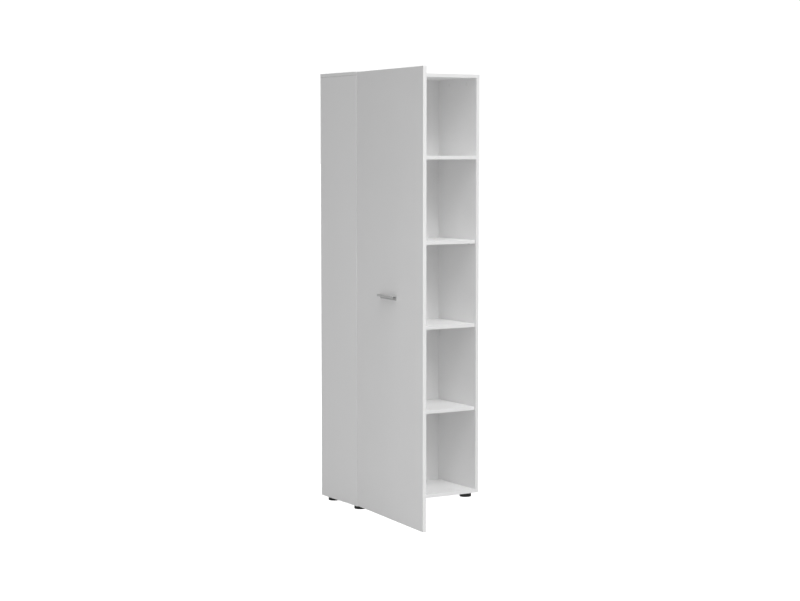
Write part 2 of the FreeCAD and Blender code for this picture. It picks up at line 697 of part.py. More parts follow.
def door_panel():
    """The door board with its cup pots and screw holes."""
    board = box(DOOR_LEFT, DOOR_RIGHT, DOOR_OUTER, DOOR_INNER, DOOR_BOTTOM, DOOR_TOP)
    board = board.makeChamfer(DOOR_EDGE_BEVEL, board.Edges)
    holes = handle_screws(THREAD_CLEARANCE)
    for height in hinge_heights():
        rim = Vec(CUP_X, DOOR_INNER, height)
        holes.append(peg(rim, Y_AXIS * -1, CUP_DIAMETER + 2 * CUP_CLEARANCE, CUP_DEPTH, CUP_SIDES))
        holes += cup_screws(height, THREAD_CLEARANCE)
    return board.cut(holes)


def wall_angle_places():
    return {"left": -ANGLE_SPACING / 2, "right": ANGLE_SPACING / 2}


def wall_angle(x):
    """A bent steel angle: one leg under the top, the other against the back."""
    half = ANGLE_WIDTH / 2
    flat = box(x - half, x + half, BACK_FRONT - ANGLE_LEG, BACK_FRONT, TOP_UNDER - ANGLE_LEG, TOP_UNDER)
    room = box(
        x - half,
        x + half,
        BACK_FRONT - ANGLE_LEG,
        BACK_FRONT - ANGLE_SHEET,
        TOP_UNDER - ANGLE_LEG,
        TOP_UNDER - ANGLE_SHEET,
    )
    body = flat.cut(room)
    inside_y = BACK_FRONT - ANGLE_SHEET
    inside_z = TOP_UNDER - ANGLE_SHEET
    body = rounded(
        body, ANGLE_BEND, lambda p, d: along(d, X_AXIS) and near(p.y, inside_y) and near(p.z, inside_z)
    )
    wall_hole = rod(Vec(x, BACK, TOP_UNDER - WALL_HOLE_DROP), Y_AXIS * -1, WALL_HOLE_DIAMETER, ANGLE_LEG)
    return body.cut([wall_hole, angle_screw(x, THREAD_CLEARANCE)])


def angle_screw_seat(x):
    return Vec(x, BACK_FRONT - ANGLE_SCREW_SETBACK, TOP_UNDER - ANGLE_SHEET)


def wall_holes():
    """Clear holes in the back for the wall screws."""
    made = []
    for x in wall_angle_places().values():
        start = Vec(x, BACK, TOP_UNDER - WALL_HOLE_DROP)
        made.append(rod(start, Y_AXIS * -1, WALL_HOLE_DIAMETER, BACK_REBATE_DEPTH))
    return made


def angle_screw(x, grow=0):
    grip = ANGLE_SHEET + ANGLE_SCREW_GRIP
    sizes = (ANGLE_SCREW_DIAMETER, grip, ANGLE_SCREW_HEAD_DIAMETER, ANGLE_SCREW_HEAD_HEIGHT, grow)
    return headed(angle_screw_seat(x), Z_AXIS, *sizes)


def build():
    os.makedirs("parts", exist_ok=True)
    fixed_level = COMPARTMENTS - 1
    fixed_under = shelf_under(fixed_level)
    heights = hinge_heights()
    angles = wall_angle_places()

    in_bottom = end_fittings(BASE, False)
    in_shelf = end_fittings(fixed_under, True)
    in_top = top_fittings()
    fittings = {kind: in_bottom[kind] + in_shelf[kind] + in_top[kind] for kind in in_bottom}

    holes = nails(NAIL_CLEARANCE) + shelf_pins(THREAD_CLEARANCE) + foot_screws(THREAD_CLEARANCE)
    bottom_bores = end_fittings(BASE, False, True)
    shelf_bores = end_fittings(fixed_under, True, True)
    for bores in (bottom_bores, shelf_bores, top_fittings(True)):
        holes += bores["cams"] + bores["bolts"] + bores["dowels"]
    for height in heights:
        holes += plate_screws(height, THREAD_CLEARANCE)
    for x in angles.values():
        holes.append(angle_screw(x, THREAD_CLEARANCE))

    save("left_side_panel", [side_panel(holes, LEFT, INNER_LEFT)])
    save("right_side_panel", [side_panel(holes, RIGHT, INNER_RIGHT)])
    save("top_panel", [top_panel(holes)])
    save("bottom_panel", [cross_board(BASE, holes)])
    save("fixed_shelf", [cross_board(fixed_under, holes)])
    for level, name in ((3, "upper"), (2, "middle"), (1, "lower")):
        save(name + "_shelf", [loose_shelf(level)])
    save("back_panel", [back_panel(nails(NAIL_CLEARANCE) + wall_holes())])
    for name, place in foot_places().items():
        save("foot_" + name, [foot(*place)])
    save("foot_screws", foot_screws())
    save("cam_locks", fittings["cams"])
    save("cam_caps", in_shelf["caps"] + in_top["caps"])
    save("cam_bolts", fittings["bolts"])
    save("wooden_dowels", fittings["dowels"])
    save("shelf_pins", shelf_pins())
    save("back_nails", nails())
    for name, x in angles.items():
        save("wall_angle_" + name, [wall_angle(x)])
    save("wall_angle_screws", [angle_screw(x) for x in angles.values()])

    for index, height in enumerate(heights, 1):
        save("hinge_plate_" + str(index), [hinge_plate(height)])
        save("hinge_arm_" + str(index), [hinge_arm(height)])
        save("hinge_cup_" + str(index), [swing(hinge_cup(height))])
    save("hinge_plate_screws", [screw for height in heights for screw in plate_screws(height)])
    save("hinge_arm_screws", [screw for height in heights for screw in arm_screws(height)])
    save("hinge_pins", [swing(hinge_pin(height)) for height in heights])
    save("hinge_cup_screws", [swing(screw) for height in heights for screw in cup_screws(height)])

    save("door_panel", [swing(door_panel())])
    save("door_bumpers", [swing(pad) for pad in door_bumpers()])
    save("handle", [swing(handle())])
    save("handle_screws", [swing(screw) for screw in handle_screws()])


build()
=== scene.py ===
import json
import math

import bmesh
import bpy
from mathutils import Matrix, Vector


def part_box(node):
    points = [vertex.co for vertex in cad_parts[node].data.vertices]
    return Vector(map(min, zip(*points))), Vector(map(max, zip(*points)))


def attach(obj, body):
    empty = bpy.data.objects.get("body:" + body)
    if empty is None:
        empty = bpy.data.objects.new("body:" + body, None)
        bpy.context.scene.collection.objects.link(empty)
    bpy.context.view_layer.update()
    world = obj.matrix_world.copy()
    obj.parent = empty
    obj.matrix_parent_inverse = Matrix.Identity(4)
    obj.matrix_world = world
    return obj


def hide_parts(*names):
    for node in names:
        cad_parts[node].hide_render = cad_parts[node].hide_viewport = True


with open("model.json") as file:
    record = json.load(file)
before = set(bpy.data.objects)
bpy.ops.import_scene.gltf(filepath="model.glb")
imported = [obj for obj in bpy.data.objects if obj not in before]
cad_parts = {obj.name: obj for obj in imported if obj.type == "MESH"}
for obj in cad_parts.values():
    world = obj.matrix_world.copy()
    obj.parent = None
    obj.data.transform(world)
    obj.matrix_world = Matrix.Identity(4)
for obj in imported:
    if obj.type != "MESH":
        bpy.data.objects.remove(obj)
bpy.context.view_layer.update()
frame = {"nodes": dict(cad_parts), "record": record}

MM = 0.001
QUARTER_TURN = math.pi / 2
X_AXIS = Vector((1, 0, 0))
Y_AXIS = Vector((0, 1, 0))
Z_AXIS = Vector((0, 0, 1))
WHITE = (1, 1, 1, 1)

# Camera, fitted to the photograph's edges
CAMERA_PLACE = (-4.34267, -7.16423, 1.59781)
CAMERA_TURN_DEG = -31.215
CAMERA_TILT_DEG = 4.3939
CAMERA_LENS_MM = 82.301
CAMERA_SENSOR_MM = 36.0
CAMERA_SHIFT_Y = -0.01
CAMERA_REACH_M = 1000.0

# The stage: how strongly the surround and the floor light the object, and how bright they are seen
SKY_STRENGTH = 0.06
SKY_SEEN_STRENGTH = 1.05
FLOOR_GLOW = 0.215
FLOOR_SEEN_GLOW = 1.1
FLOOR_GREYS = (0.5, 0.52)
FLOOR_ROUGHNESS = 0.9
FLOOR_SIZE_M = 400

# Soft lamps: name, place, what it looks at, diameter and watts
LAMPS = (
    ("left_near", (-2.3, -1.5, 1.2), (-0.35, -0.6, 0.6), 1.2, 7.4),
    ("front_high", (-0.8, -4.0, 6.5), (0, 0, 0.5), 3.0, 160.0),
    ("overhead", (0, -1.5, 6.0), (0, 0, 0.5), 3.0, 38.0),
)

# Far soft lights: name, turn from straight in front (left is negative) and height in degrees,
# and strength
FAR_LIGHTS = (
    ("far_front_high", -6, 47, 0.42),
    ("far_front_right", 4, 40, 0.4),
    ("far_front_left", -20, 22, 0.18),
    ("far_left_high", -80, 62, 0.43),
    ("far_right", 95, 35, 0.35),
    ("far_rear", 170, 30, 0.4),
)
FAR_SOFTNESS_DEG = 24

# The grain of the white boards, and how far it varies their gloss and surface
PEARL = {"scale": 900, "detail": 3}
BOARD_ROUGHNESS = (0.34, 0.46)
BOARD_BUMP = 0.12

# Darker and lighter grey of the white boards, the back's inner face, the handle, the painted shade
# inside the handle's grip and the bumpers
BOARD_GREYS = (0.92 * 0.985, 0.92)
BACK_GREYS = (0.91 * 0.98, 0.91)
HANDLE_GREYS = (0.61, 0.72)
# painted shade: the darker grey inside the handle's grip, behind the lip and under the web
HANDLE_PAINTED_SHADE_GREYS = (0.48, 0.56)
BUMPER_GREYS = (0.55, 0.68)

# Darker and lighter colour of the board core, darkened into painted shade for the top panel's
# joint groove, the back's rear face and the dowels
CORE_AND_SHADE_COLOURS = ((0.06, 0.048, 0.036), (0.14, 0.11, 0.08))
FIBRE_COLOURS = ((0.28, 0.175, 0.1), (0.42, 0.28, 0.17))
BEECH_COLOURS = ((0.45, 0.29, 0.16), (0.62, 0.44, 0.27))

# How far the gloss of metal and of plastic varies, in shares of its roughness
METAL_SPREAD = (0.8, 1.25)
PLASTIC_SPREAD = (0.85, 1.15)

# How much of the handle's finish is metal, and how clear the bumpers are
HANDLE_METALLIC = 0.5
BUMPER_CLEAR = 0.35

# Where a noise turns from the first colour to the second
RAMP_START = 0.35
RAMP_END = 0.65

# How deep a bump is, in mm, on a fine and on a coarse surface
FINE_DEPTH = 0.05
COARSE_DEPTH = 0.1

# The colour sockets of a Mix node, by number because other types share their names
MIX_FIRST = 6
MIX_SECOND = 7
MIX_RESULT = 2

# The groove at each end of the top panel, with a little over its depth and height
GROOVE_DEPTH = 2.05 * MM
GROOVE_HEIGHT = 0.55 * MM

# Boards with a raw cut face beside the groove, painted dark as the groove's shade, and their
# materials
CUT_BOARDS = {
    "top_panel": "grooved_top_painted_shade",
    "left_side_panel": "cut_side_painted_shade",
    "right_side_panel": "cut_side_painted_shade",
}

# How far the door stands open at rest
DOOR_OPEN_DEG = 95.0

# Less than the wall of the handle: what lies deeper is its inside, where shade is painted
HANDLE_SKIN = 2.5 * MM

# Screws and nails that are turned in place of the plain CAD ones: node, body, cross recess or not
SCREWS = (
    ("hinge_plate_screws", "carcass", True),
    ("hinge_arm_screws", "carcass", True),
    ("hinge_cup_screws", "door", True),
    ("handle_screws", "door", True),
    ("foot_screws", "carcass", True),
    ("wall_angle_screws", "carcass", True),
    ("back_nails", "carcass", False),
)

# How far a turned piece fills the many-sided CAD one, so that it stays inside its hole
HEAD_FILL = 0.94
SHANK_FILL = 0.86
TURNED_SIDES = 24
SMOOTH_DEG = 35

# Screws: the head's profile and recess in shares of its radius and height, the thread, its core in
# shares of the shank and its share of the length, and the point in shares of the shank and core
SCREW_FACE = 0.72
SCREW_HEAD = ((SCREW_FACE, 0), (0.9, 0.14), (1, 0.42), (1, 1))
SCREW_RECESS_DEPTH = 0.6
THREAD_PITCH = 1.5 * MM
THREAD_CORE = 0.78
THREADED_SHARE = 0.8
POINT_LENGTH = 2
POINT_WIDTH = 0.15

# A cross recess: its reach and half its width in shares of the face, and how its floor narrows
CROSS_REACH = 0.62
CROSS_HALF_WIDTH = 0.15
CROSS_FLOOR = 0.7

# Cams: the rim, then the waist in shares of the radius and height, then the recess
CAM_FACE = 0.92
CAM_EASE = 0.6 * MM
CAM_WAIST = ((1, 0.35), (0.8, 0.4), (0.8, 0.75), (1, 0.8), (1, 1))
CAM_RECESS_WIDTH = 0.7
CAM_RECESS_DEPTH = 0.3

# Domed pieces: the share of the height that is dome
CAP_BULGE = 0.7
BUMPER_BULGE = 0.75
DOME_STEPS = 6

# Feet
FEET = ("foot_front_left", "foot_front_right", "foot_rear_left", "foot_rear_right")
FOOT_SIDES = 72
FOOT_EASE = 0.8 * MM
FOOT_EASE_STEPS = 4
FOOT_TOP_EASE = 0.4 * MM
FOOT_BORE = 2.3 * MM
FOOT_SINK = 4.9 * MM
FOOT_SINK_DEPTH = 6.0 * MM

# Tolerances: points that are one, points at one level, and faces that are flush
MERGE_DISTANCE = 1e-6
LEVEL_DIGITS = 5
LEVEL_TOLERANCE = 2e-5
FACE_TOLERANCE = 0.1 * MM

# A direction's part along an axis beyond which it counts as pointing along it
MOSTLY = 0.5


def new_material(name):
    """An empty node material with a Principled shader; returns it with its tree and shader."""
    material = bpy.data.materials.new(name)
    material.use_nodes = True
    tree = material.node_tree
    return material, tree, tree.nodes["Principled BSDF"]


def add_node(tree, kind, **inputs):
    """A node with some of its inputs set; an underscore stands for a space in an input's name."""
    node = tree.nodes.new(kind)
    for key, value in inputs.items():
        node.inputs[key.replace("_", " ")].default_value = value
    return node


def object_place(tree):
    """The place of a point in object space."""
    return tree.nodes.new("ShaderNodeTexCoord").outputs["Object"]


def split_axes(tree, vector):
    """A vector's parts, by the name of the axis."""
    node = tree.nodes.new("ShaderNodeSeparateXYZ")
    tree.links.new(vector, node.inputs["Vector"])
    return node.outputs


def noise(tree, scale, detail, stretch=(1, 1, 1), turn_deg=0):
    """Noise in object space, turned about the upright axis and stretched along the axes."""
    turned = add_node(tree, "ShaderNodeVectorRotate", Angle=math.radians(turn_deg))
    turned.rotation_type = "Z_AXIS"
    mapping = add_node(tree, "ShaderNodeMapping", Scale=stretch)
    texture = add_node(tree, "ShaderNodeTexNoise", Scale=scale, Detail=detail)
    tree.links.new(object_place(tree), turned.inputs["Vector"])
    tree.links.new(turned.outputs["Vector"], mapping.inputs["Vector"])
    tree.links.new(mapping.outputs["Vector"], texture.inputs["Vector"])
    return texture.outputs["Fac"]


def ramp(tree, factor, low, high):
    """A colour between two, picked by a factor."""
    node = tree.nodes.new("ShaderNodeValToRGB")
    first, second = node.color_ramp.elements
    first.position = RAMP_START
    first.color = (*low, 1)
    second.position = RAMP_END
    second.color = (*high, 1)
    tree.links.new(factor, node.inputs["Fac"])
    return node.outputs["Color"]


def grey_ramp(tree, factor, low, high):
    """A grey between two levels, picked by a factor."""
    return ramp(tree, factor, (low, low, low), (high, high, high))


def compare(tree, value, operation, limit):
    """1 where a value is above or below a limit, else 0."""
    node = tree.nodes.new("ShaderNodeMath")
    node.operation = operation
    node.inputs[1].default_value = limit
    tree.links.new(value, node.inputs[0])
    return node.outputs["Value"]


def both(tree, first, second):
    """1 where both values are 1, else 0."""
    node = tree.nodes.new("ShaderNodeMath")
    node.operation = "MULTIPLY"
    tree.links.new(first, node.inputs[0])
    tree.links.new(second, node.inputs[1])
    return node.outputs["Value"]


def mix_colours(tree, factor, first, second):
    """The first colour where the factor is 0, the second where it is 1."""
    node = tree.nodes.new("ShaderNodeMix")
    node.data_type = "RGBA"
    tree.links.new(factor, node.inputs["Factor"])
    tree.links.new(first, node.inputs[MIX_FIRST])
    tree.links.new(second, node.inputs[MIX_SECOND])
    return node.outputs[MIX_RESULT]


def surface(tree, shader, colour, factor, roughness, bump, depth_mm):
    """Give a shader its colour, and a gloss and a relief that vary with a factor."""
    low, high = roughness
    gloss = add_node(tree, "ShaderNodeMapRange", To_Min=low, To_Max=high)
    relief = add_node(tree, "ShaderNodeBump", Strength=bump, Distance=depth_mm * MM)
    tree.links.new(colour, shader.inputs["Base Color"])
    tree.links.new(factor, gloss.inputs["Value"])
    tree.links.new(gloss.outputs["Result"], shader.inputs["Roughness"])
    tree.links.new(factor, relief.inputs["Height"])
    tree.links.new(relief.outputs["Normal"], shader.inputs["Normal"])


def faced_board(name):
    """White melamine: faint clouds in the colour, a fine pearl in the gloss and the surface."""
    material, tree, shader = new_material(name)
    pearl = noise(tree, **PEARL)
    cloud = noise(tree, scale=3, detail=2)
    white = grey_ramp(tree, cloud, *BOARD_GREYS)
    surface(tree, shader, white, pearl, BOARD_ROUGHNESS, BOARD_BUMP, FINE_DEPTH)
    return material


def beyond_limits(tree, limits):
    """1 where a point of a board lies beyond every limit, else 0; x counts from the middle."""
    axes = split_axes(tree, object_place(tree))
    found = None
    for axis, operation, limit in limits:
        size = tree.nodes.new("ShaderNodeMath")
        size.operation = "ABSOLUTE"
        tree.links.new(axes[axis], size.inputs[0])
        here = compare(tree, size.outputs["Value"], operation, limit)
        found = here if found is None else both(tree, found, here)
    return found


def cut_board(name, limits):
    """White melamine with the raw board core showing beyond the limits, where it was cut, painted
    very dark as shade in the joint's groove.
    """
    material, tree, shader = new_material(name)
    pearl = noise(tree, **PEARL)
    chips = noise(tree, scale=700, detail=5)
    white = grey_ramp(tree, pearl, *BOARD_GREYS)
    # painted shade: the raw core is darkened so that the joint's groove shows as a dark shadow
    # line
    core = ramp(tree, chips, *CORE_AND_SHADE_COLOURS)
    colour = mix_colours(tree, beyond_limits(tree, limits), white, core)
    surface(tree, shader, colour, pearl, BOARD_ROUGHNESS, BOARD_BUMP, FINE_DEPTH)
    return material


def hardboard(name):
    """White on the inner face, raw brown fibre on the rear face."""
    material, tree, shader = new_material(name)
    fibre = noise(tree, scale=260, detail=6)
    geometry = tree.nodes.new("ShaderNodeNewGeometry")
    facing = split_axes(tree, geometry.outputs["Normal"])
    rear = compare(tree, facing["Y"], "GREATER_THAN", MOSTLY)
    white = grey_ramp(tree, fibre, *BACK_GREYS)
    brown = ramp(tree, fibre, *FIBRE_COLOURS)
    colour = mix_colours(tree, rear, white, brown)
    surface(tree, shader, colour, fibre, (0.42, 0.6), bump=0.15, depth_mm=COARSE_DEPTH)
    return material


def metal(name, greys, roughness, scale, bump=0.05):
    """Plated or cast metal with fine marks."""
    material, tree, shader = new_material(name)
    marks = noise(tree, scale, detail=4)
    colour = grey_ramp(tree, marks, *greys)
    spread = [roughness * share for share in METAL_SPREAD]
    shader.inputs["Metallic"].default_value = 1.0
    surface(tree, shader, colour, marks, spread, bump, FINE_DEPTH)
    return material


def handle_shade_mask(tree):
    """1 behind the handle's lip and under its web, where the handle's shade is painted, else 0."""
    outward = -door_inward()
    points = [vert.co for vert in frame["nodes"]["handle"].data.vertices]
    nose = max(point.dot(outward) for point in points)
    top = max(point.z for point in points)
    place = object_place(tree)
    reach = tree.nodes.new("ShaderNodeVectorMath")
    reach.operation = "DOT_PRODUCT"
    reach.inputs[1].default_value = outward
    tree.links.new(place, reach.inputs[0])
    height = split_axes(tree, place)["Z"]
    behind = compare(tree, reach.outputs["Value"], "LESS_THAN", nose - HANDLE_SKIN)
    under = compare(tree, height, "LESS_THAN", top - HANDLE_SKIN)
    return both(tree, behind, under)


def brushed_handle(name):
    """Aluminium brushed along its length, with painted shade: a darker grey on the inside of the
    grip.
    """
    material, tree, shader = new_material(name)
    along_door = DOOR_OPEN_DEG - 90
    marks = noise(tree, scale=30, detail=4, stretch=(120, 1, 120), turn_deg=along_door)
    bright = grey_ramp(tree, marks, *HANDLE_GREYS)
    # painted shade inside the grip, where the lip shades it
    painted_shade = grey_ramp(tree, marks, *HANDLE_PAINTED_SHADE_GREYS)
    colour = mix_colours(tree, handle_shade_mask(tree), bright, painted_shade)
    shader.inputs["Metallic"].default_value = HANDLE_METALLIC
    surface(tree, shader, colour, marks, (0.3, 0.48), bump=0.12, depth_mm=FINE_DEPTH)
    return material


def plastic(name, greys, roughness, bump):
    """Moulded plastic, or a coat of paint, with a fine eroded grain."""
    material, tree, shader = new_material(name)
    grain = noise(tree, scale=1400, detail=4)
    colour = grey_ramp(tree, grain, *greys)
    spread = [roughness * share for share in PLASTIC_SPREAD]
    surface(tree, shader, colour, grain, spread, bump, COARSE_DEPTH)
    return material


def beech(name):
    """Bare wood with its grain along x."""
    material, tree, shader = new_material(name)
    grain = noise(tree, scale=60, detail=5, stretch=(1, 12, 12))
    colour = ramp(tree, grain, *BEECH_COLOURS)
    surface(tree, shader, colour, grain, (0.55, 0.75), bump=0.2, depth_mm=COARSE_DEPTH)
    return material


def soft_pad(name):
    """Cloudy, partly clear rubber."""
    material, tree, shader = new_material(name)
    cloud = noise(tree, scale=300, detail=2)
    colour = grey_ramp(tree, cloud, *BUMPER_GREYS)
    surface(tree, shader, colour, cloud, (0.25, 0.4), bump=0.1, depth_mm=COARSE_DEPTH)
    shader.inputs["Transmission Weight"].default_value = BUMPER_CLEAR
    return material


def make_materials():
    """Every material, by the name of its slot."""
    low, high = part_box("top_panel")
    side_top = (("Z", "GREATER_THAN", low[2] - FACE_TOLERANCE),)
    groove = (
        ("X", "GREATER_THAN", high[0] - GROOVE_DEPTH),
        ("Z", "LESS_THAN", low[2] + GROOVE_HEIGHT),
    )
    return {
        "white_board": faced_board("white_board"),
        "grooved_top_painted_shade": cut_board("grooved_top_painted_shade", groove),
        "cut_side_painted_shade": cut_board("cut_side_painted_shade", side_top),
        "back_board": hardboard("back_board"),
        "black_plastic": plastic("black_plastic", (0.012, 0.024), roughness=0.5, bump=0.25),
        "white_plastic": plastic("white_plastic", (0.86, 0.88), roughness=0.4, bump=0.05),
        "satin_aluminium": brushed_handle("satin_aluminium"),
        "hinge_steel": metal("hinge_steel", (0.6, 0.68), roughness=0.24, scale=500),
        "screw_steel": metal("screw_steel", (0.55, 0.66), roughness=0.3, scale=700),
        "cast_zinc": metal("cast_zinc", (0.4, 0.5), roughness=0.45, scale=900, bump=0.2),
        "angle_steel": plastic("angle_steel", (0.74, 0.8), roughness=0.4, bump=0.1),
        "dowel_wood": beech("dowel_wood"),
        "soft_pad": soft_pad("soft_pad"),
    }


def dress_nodes():
    """Every CAD node takes the material of its slot, or its own if it has a cut face."""
    for part in frame["record"]["subparts"]:
        mesh = frame["nodes"][part["node"]].data
        mesh.materials.clear()
        mesh.materials.append(materials[CUT_BOARDS.get(part["node"], part["material_slot"])])


def islands(node):
    """The separate solids of a CAD node, each as a list of points."""
    mesh = bmesh.new()
    mesh.from_mesh(frame["nodes"][node].data)
    bmesh.ops.remove_doubles(mesh, verts=mesh.verts, dist=MERGE_DISTANCE)
    left = set(mesh.verts)
    found = []
    for start in mesh.verts:
        if start not in left:
            continue
        left.remove(start)
        todo = [start]
        group = []
        while todo:
            vert = todo.pop()
            group.append(vert.co.copy())
            for edge in vert.link_edges:
                other = edge.other_vert(vert)
                if other in left:
                    left.remove(other)
                    todo.append(other)
        found.append(group)
    mesh.free()
    return found


def door_turn():
    """The turn from the shut door to the open one."""
    return Matrix.Rotation(math.radians(-DOOR_OPEN_DEG), 3, "Z")


def door_inward():
    """The direction out of the open door's inner face."""
    return door_turn() @ Y_AXIS


def fitting_axis(points):
    """The direction, the frame's or the door's, in which a fitting has the fewest levels."""
    directions = [X_AXIS, Y_AXIS, Z_AXIS, door_turn() @ X_AXIS, door_inward()]
    return min(directions, key=lambda axis: len(levels_along(points, axis)))


def levels_along(points, axis):
    """The distinct distances of the points along an axis, lowest first."""
    return sorted({round(point.dot(axis), LEVEL_DIGITS) for point in points})


def points_at(points, axis, level):
    """The points at one distance along an axis."""
    return [point for point in points if abs(point.dot(axis) - level) < LEVEL_TOLERANCE]


def centre_of(points):
    """The mean of some points."""
    return sum(points, Vector()) / len(points)


def widest(points):
    """The greatest distance of the points from their centre."""
    centre = centre_of(points)
    return max((point - centre).length for point in points)


def side_directions(axis):
    """Two directions square to an axis and to each other."""
    across = Z_AXIS if abs(axis.z) < MOSTLY else X_AXIS
    across = (across - axis * across.dot(axis)).normalized()
    return across, axis.cross(across)


def ring(mesh, centre, axis, radius, depth, sides):
    """A circle of points round an axis."""
    across, up = side_directions(axis)
    place = centre + axis * depth
    verts = []
    for index in range(sides):
        angle = 2 * math.pi * index / sides
        spoke = across * math.cos(angle) + up * math.sin(angle)
        verts.append(mesh.verts.new(place + spoke * radius))
    return verts


def join_rings(mesh, first, second):
    """A wall between two rings."""
    count = len(first)
    for index in range(count):
        after = (index + 1) % count
        mesh.faces.new((first[index], first[after], second[after], second[index]))


def turn_profile(mesh, centre, axis, profile, sides):
    """Rings through a profile of (radius, depth) with walls between them; returns the rings."""
    rings = [ring(mesh, centre, axis, radius, depth, sides) for radius, depth in profile]
    for first, second in zip(rings, rings[1:]):
        join_rings(mesh, first, second)
    return rings


def cross_outline(reach, half):
    """The twelve corners of a cross, in order round it."""
    quarter = [(reach, -half), (reach, half), (half, half)]
    corners = []
    for turn in range(4):
        cos, sin = round(math.cos(turn * QUARTER_TURN)), round(math.sin(turn * QUARTER_TURN))
        corners += [(x * cos - y * sin, x * sin + y * cos) for x, y in quarter]
    return corners


def loop_edges(mesh, verts):
    """The edges round a loop of points, made where they are missing."""
    found = []
    for index, vert in enumerate(verts):
        after = verts[(index + 1) % len(verts)]
        found.append(mesh.edges.get((vert, after)) or mesh.edges.new((vert, after)))
    return found


def cut_cross(mesh, rim, centre, axis, radius, depth):
    """Close a head's top with a cross recess in it."""
    across, up = side_directions(axis)
    top_verts = []
    floor_verts = []
    for x, y in cross_outline(CROSS_REACH * radius, CROSS_HALF_WIDTH * radius):
        spot = across * x + up * y
        top_verts.append(mesh.verts.new(centre + spot))
        floor_verts.append(mesh.verts.new(centre + spot * CROSS_FLOOR + axis * depth))
    edges = loop_edges(mesh, rim) + loop_edges(mesh, top_verts)
    bmesh.ops.triangle_fill(mesh, use_beauty=True, edges=edges)
    join_rings(mesh, top_verts, floor_verts)
    bmesh.ops.triangle_fill(mesh, use_beauty=True, edges=loop_edges(mesh, floor_verts))


def screw_profile(radius, height, shank, length, threaded):
    """A head, a shank with or without a thread, and a point, from the top of the head."""
    core = shank * THREAD_CORE if threaded else shank
    point_start = length - POINT_LENGTH * shank
    profile = [(radius * wide, height * deep) for wide, deep in SCREW_HEAD]
    profile.append((core, height))
    turns = int((length - height) * THREADED_SHARE / THREAD_PITCH) if threaded else 0
    for index in range(turns):
        start = point_start - (turns - index) * THREAD_PITCH
        if start > height:
            profile += [(core, start), (shank, start + THREAD_PITCH / 2)]
    return profile + [(core, point_start), (core * POINT_WIDTH, length)]


def turn_screw(mesh, points, cross):
    """A round headed screw or nail where a CAD one is."""
    axis = fitting_axis(points)
    levels = levels_along(points, axis)
    if widest(points_at(points, axis, levels[0])) < widest(points_at(points, axis, levels[-1])):
        axis = -axis
        levels = levels_along(points, axis)
    head = points_at(points, axis, levels[0])
    top = centre_of(head)
    height = levels[1] - levels[0]
    length = levels[-1] - levels[0]
    radius = widest(head) * HEAD_FILL
    shank = widest(points_at(points, axis, levels[-1])) * SHANK_FILL
    profile = screw_profile(radius, height, shank, length, cross)
    rings = turn_profile(mesh, top, axis, profile, TURNED_SIDES)
    if cross:
        recess = height * SCREW_RECESS_DEPTH
        cut_cross(mesh, rings[0], top, axis, radius * SCREW_FACE, recess)
    else:
        mesh.faces.new(rings[0])
    mesh.faces.new(rings[-1])


def turn_dome(mesh, points, axis, bulge):
    """A disc with a raised, rounded face; the axis points out of that face."""
    levels = levels_along(points, axis)
    foot = points_at(points, axis, levels[0])
    height = levels[-1] - levels[0]
    radius = widest(foot) * HEAD_FILL
    wall = height * (1 - bulge)
    profile = [(radius, 0), (radius, wall)]
    for step in range(1, DOME_STEPS):
        angle = step / DOME_STEPS * QUARTER_TURN
        profile.append((radius * math.cos(angle), wall + height * bulge * math.sin(angle)))
    rings = turn_profile(mesh, centre_of(foot), axis, profile, TURNED_SIDES)
    mesh.faces.new(rings[0])
    mesh.faces.new(rings[-1])


def turn_cap(mesh, points):
    """A thin cap over a cam, which bulges away from the board that it sits on."""
    axis = fitting_axis(points)
    if abs(axis.x) > MOSTLY:
        axis = X_AXIS if centre_of(points).x < 0 else -X_AXIS
    turn_dome(mesh, points, axis, CAP_BULGE)


def turn_bumper(mesh, points):
    """A soft pad on the door's inner face."""
    turn_dome(mesh, points, door_inward(), BUMPER_BULGE)


def shows_at(axis, level):
    """Whether this end of a cam lies in a face of the board that it sits in."""
    if abs(axis.x) > MOSTLY:
        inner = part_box("left_side_panel")[1][0]
        return abs(abs(level) - abs(inner)) < FACE_TOLERANCE
    return abs(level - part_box("fixed_shelf")[1][2]) < FACE_TOLERANCE


def turn_cam(mesh, points):
    """A cast cam with an eased rim and a cross recess in the face that shows."""
    axis = fitting_axis(points)
    levels = levels_along(points, axis)
    if shows_at(axis, levels[-1]):
        axis = -axis
        levels = levels_along(points, axis)
    face = points_at(points, axis, levels[0])
    top = centre_of(face)
    radius = widest(face) * HEAD_FILL
    height = levels[-1] - levels[0]
    profile = [(radius * CAM_FACE, 0), (radius, CAM_EASE)]
    profile += [(radius * wide, height * deep) for wide, deep in CAM_WAIST]
    rings = turn_profile(mesh, top, axis, profile, TURNED_SIDES)
    recess = height * CAM_RECESS_DEPTH
    cut_cross(mesh, rings[0], top, axis, radius * CAM_RECESS_WIDTH, recess)
    mesh.faces.new(rings[-1])


def add_piece(name, mesh, body, node, slot):
    """Make a piece from a mesh that stands for a CAD node."""
    bmesh.ops.recalc_face_normals(mesh, faces=mesh.faces)
    data = bpy.data.meshes.new(name)
    mesh.to_mesh(data)
    mesh.free()
    data.materials.append(materials[slot])
    for face in data.polygons:
        face.use_smooth = True
    data.set_sharp_from_angle(angle=math.radians(SMOOTH_DEG))
    piece = bpy.data.objects.new(name, data)
    bpy.context.scene.collection.objects.link(piece)
    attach(piece, body)
    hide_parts(node)


def add_turned(node, ending, body, slot, turn, *options):
    """Turn each solid of a CAD node anew, all of them as one piece."""
    mesh = bmesh.new()
    for points in islands(node):
        turn(mesh, points, *options)
    add_piece(node + ending, mesh, body, node, slot)


def add_fittings():
    """The screws, nails, cams, caps and bumpers."""
    for node, body, cross in SCREWS:
        add_turned(node, "_turned", body, "screw_steel", turn_screw, cross)
    add_turned("cam_locks", "_cast", "carcass", "cast_zinc", turn_cam)
    add_turned("cam_caps", "_domed", "carcass", "white_plastic", turn_cap)
    add_turned("door_bumpers", "_domed", "door", "soft_pad", turn_bumper)


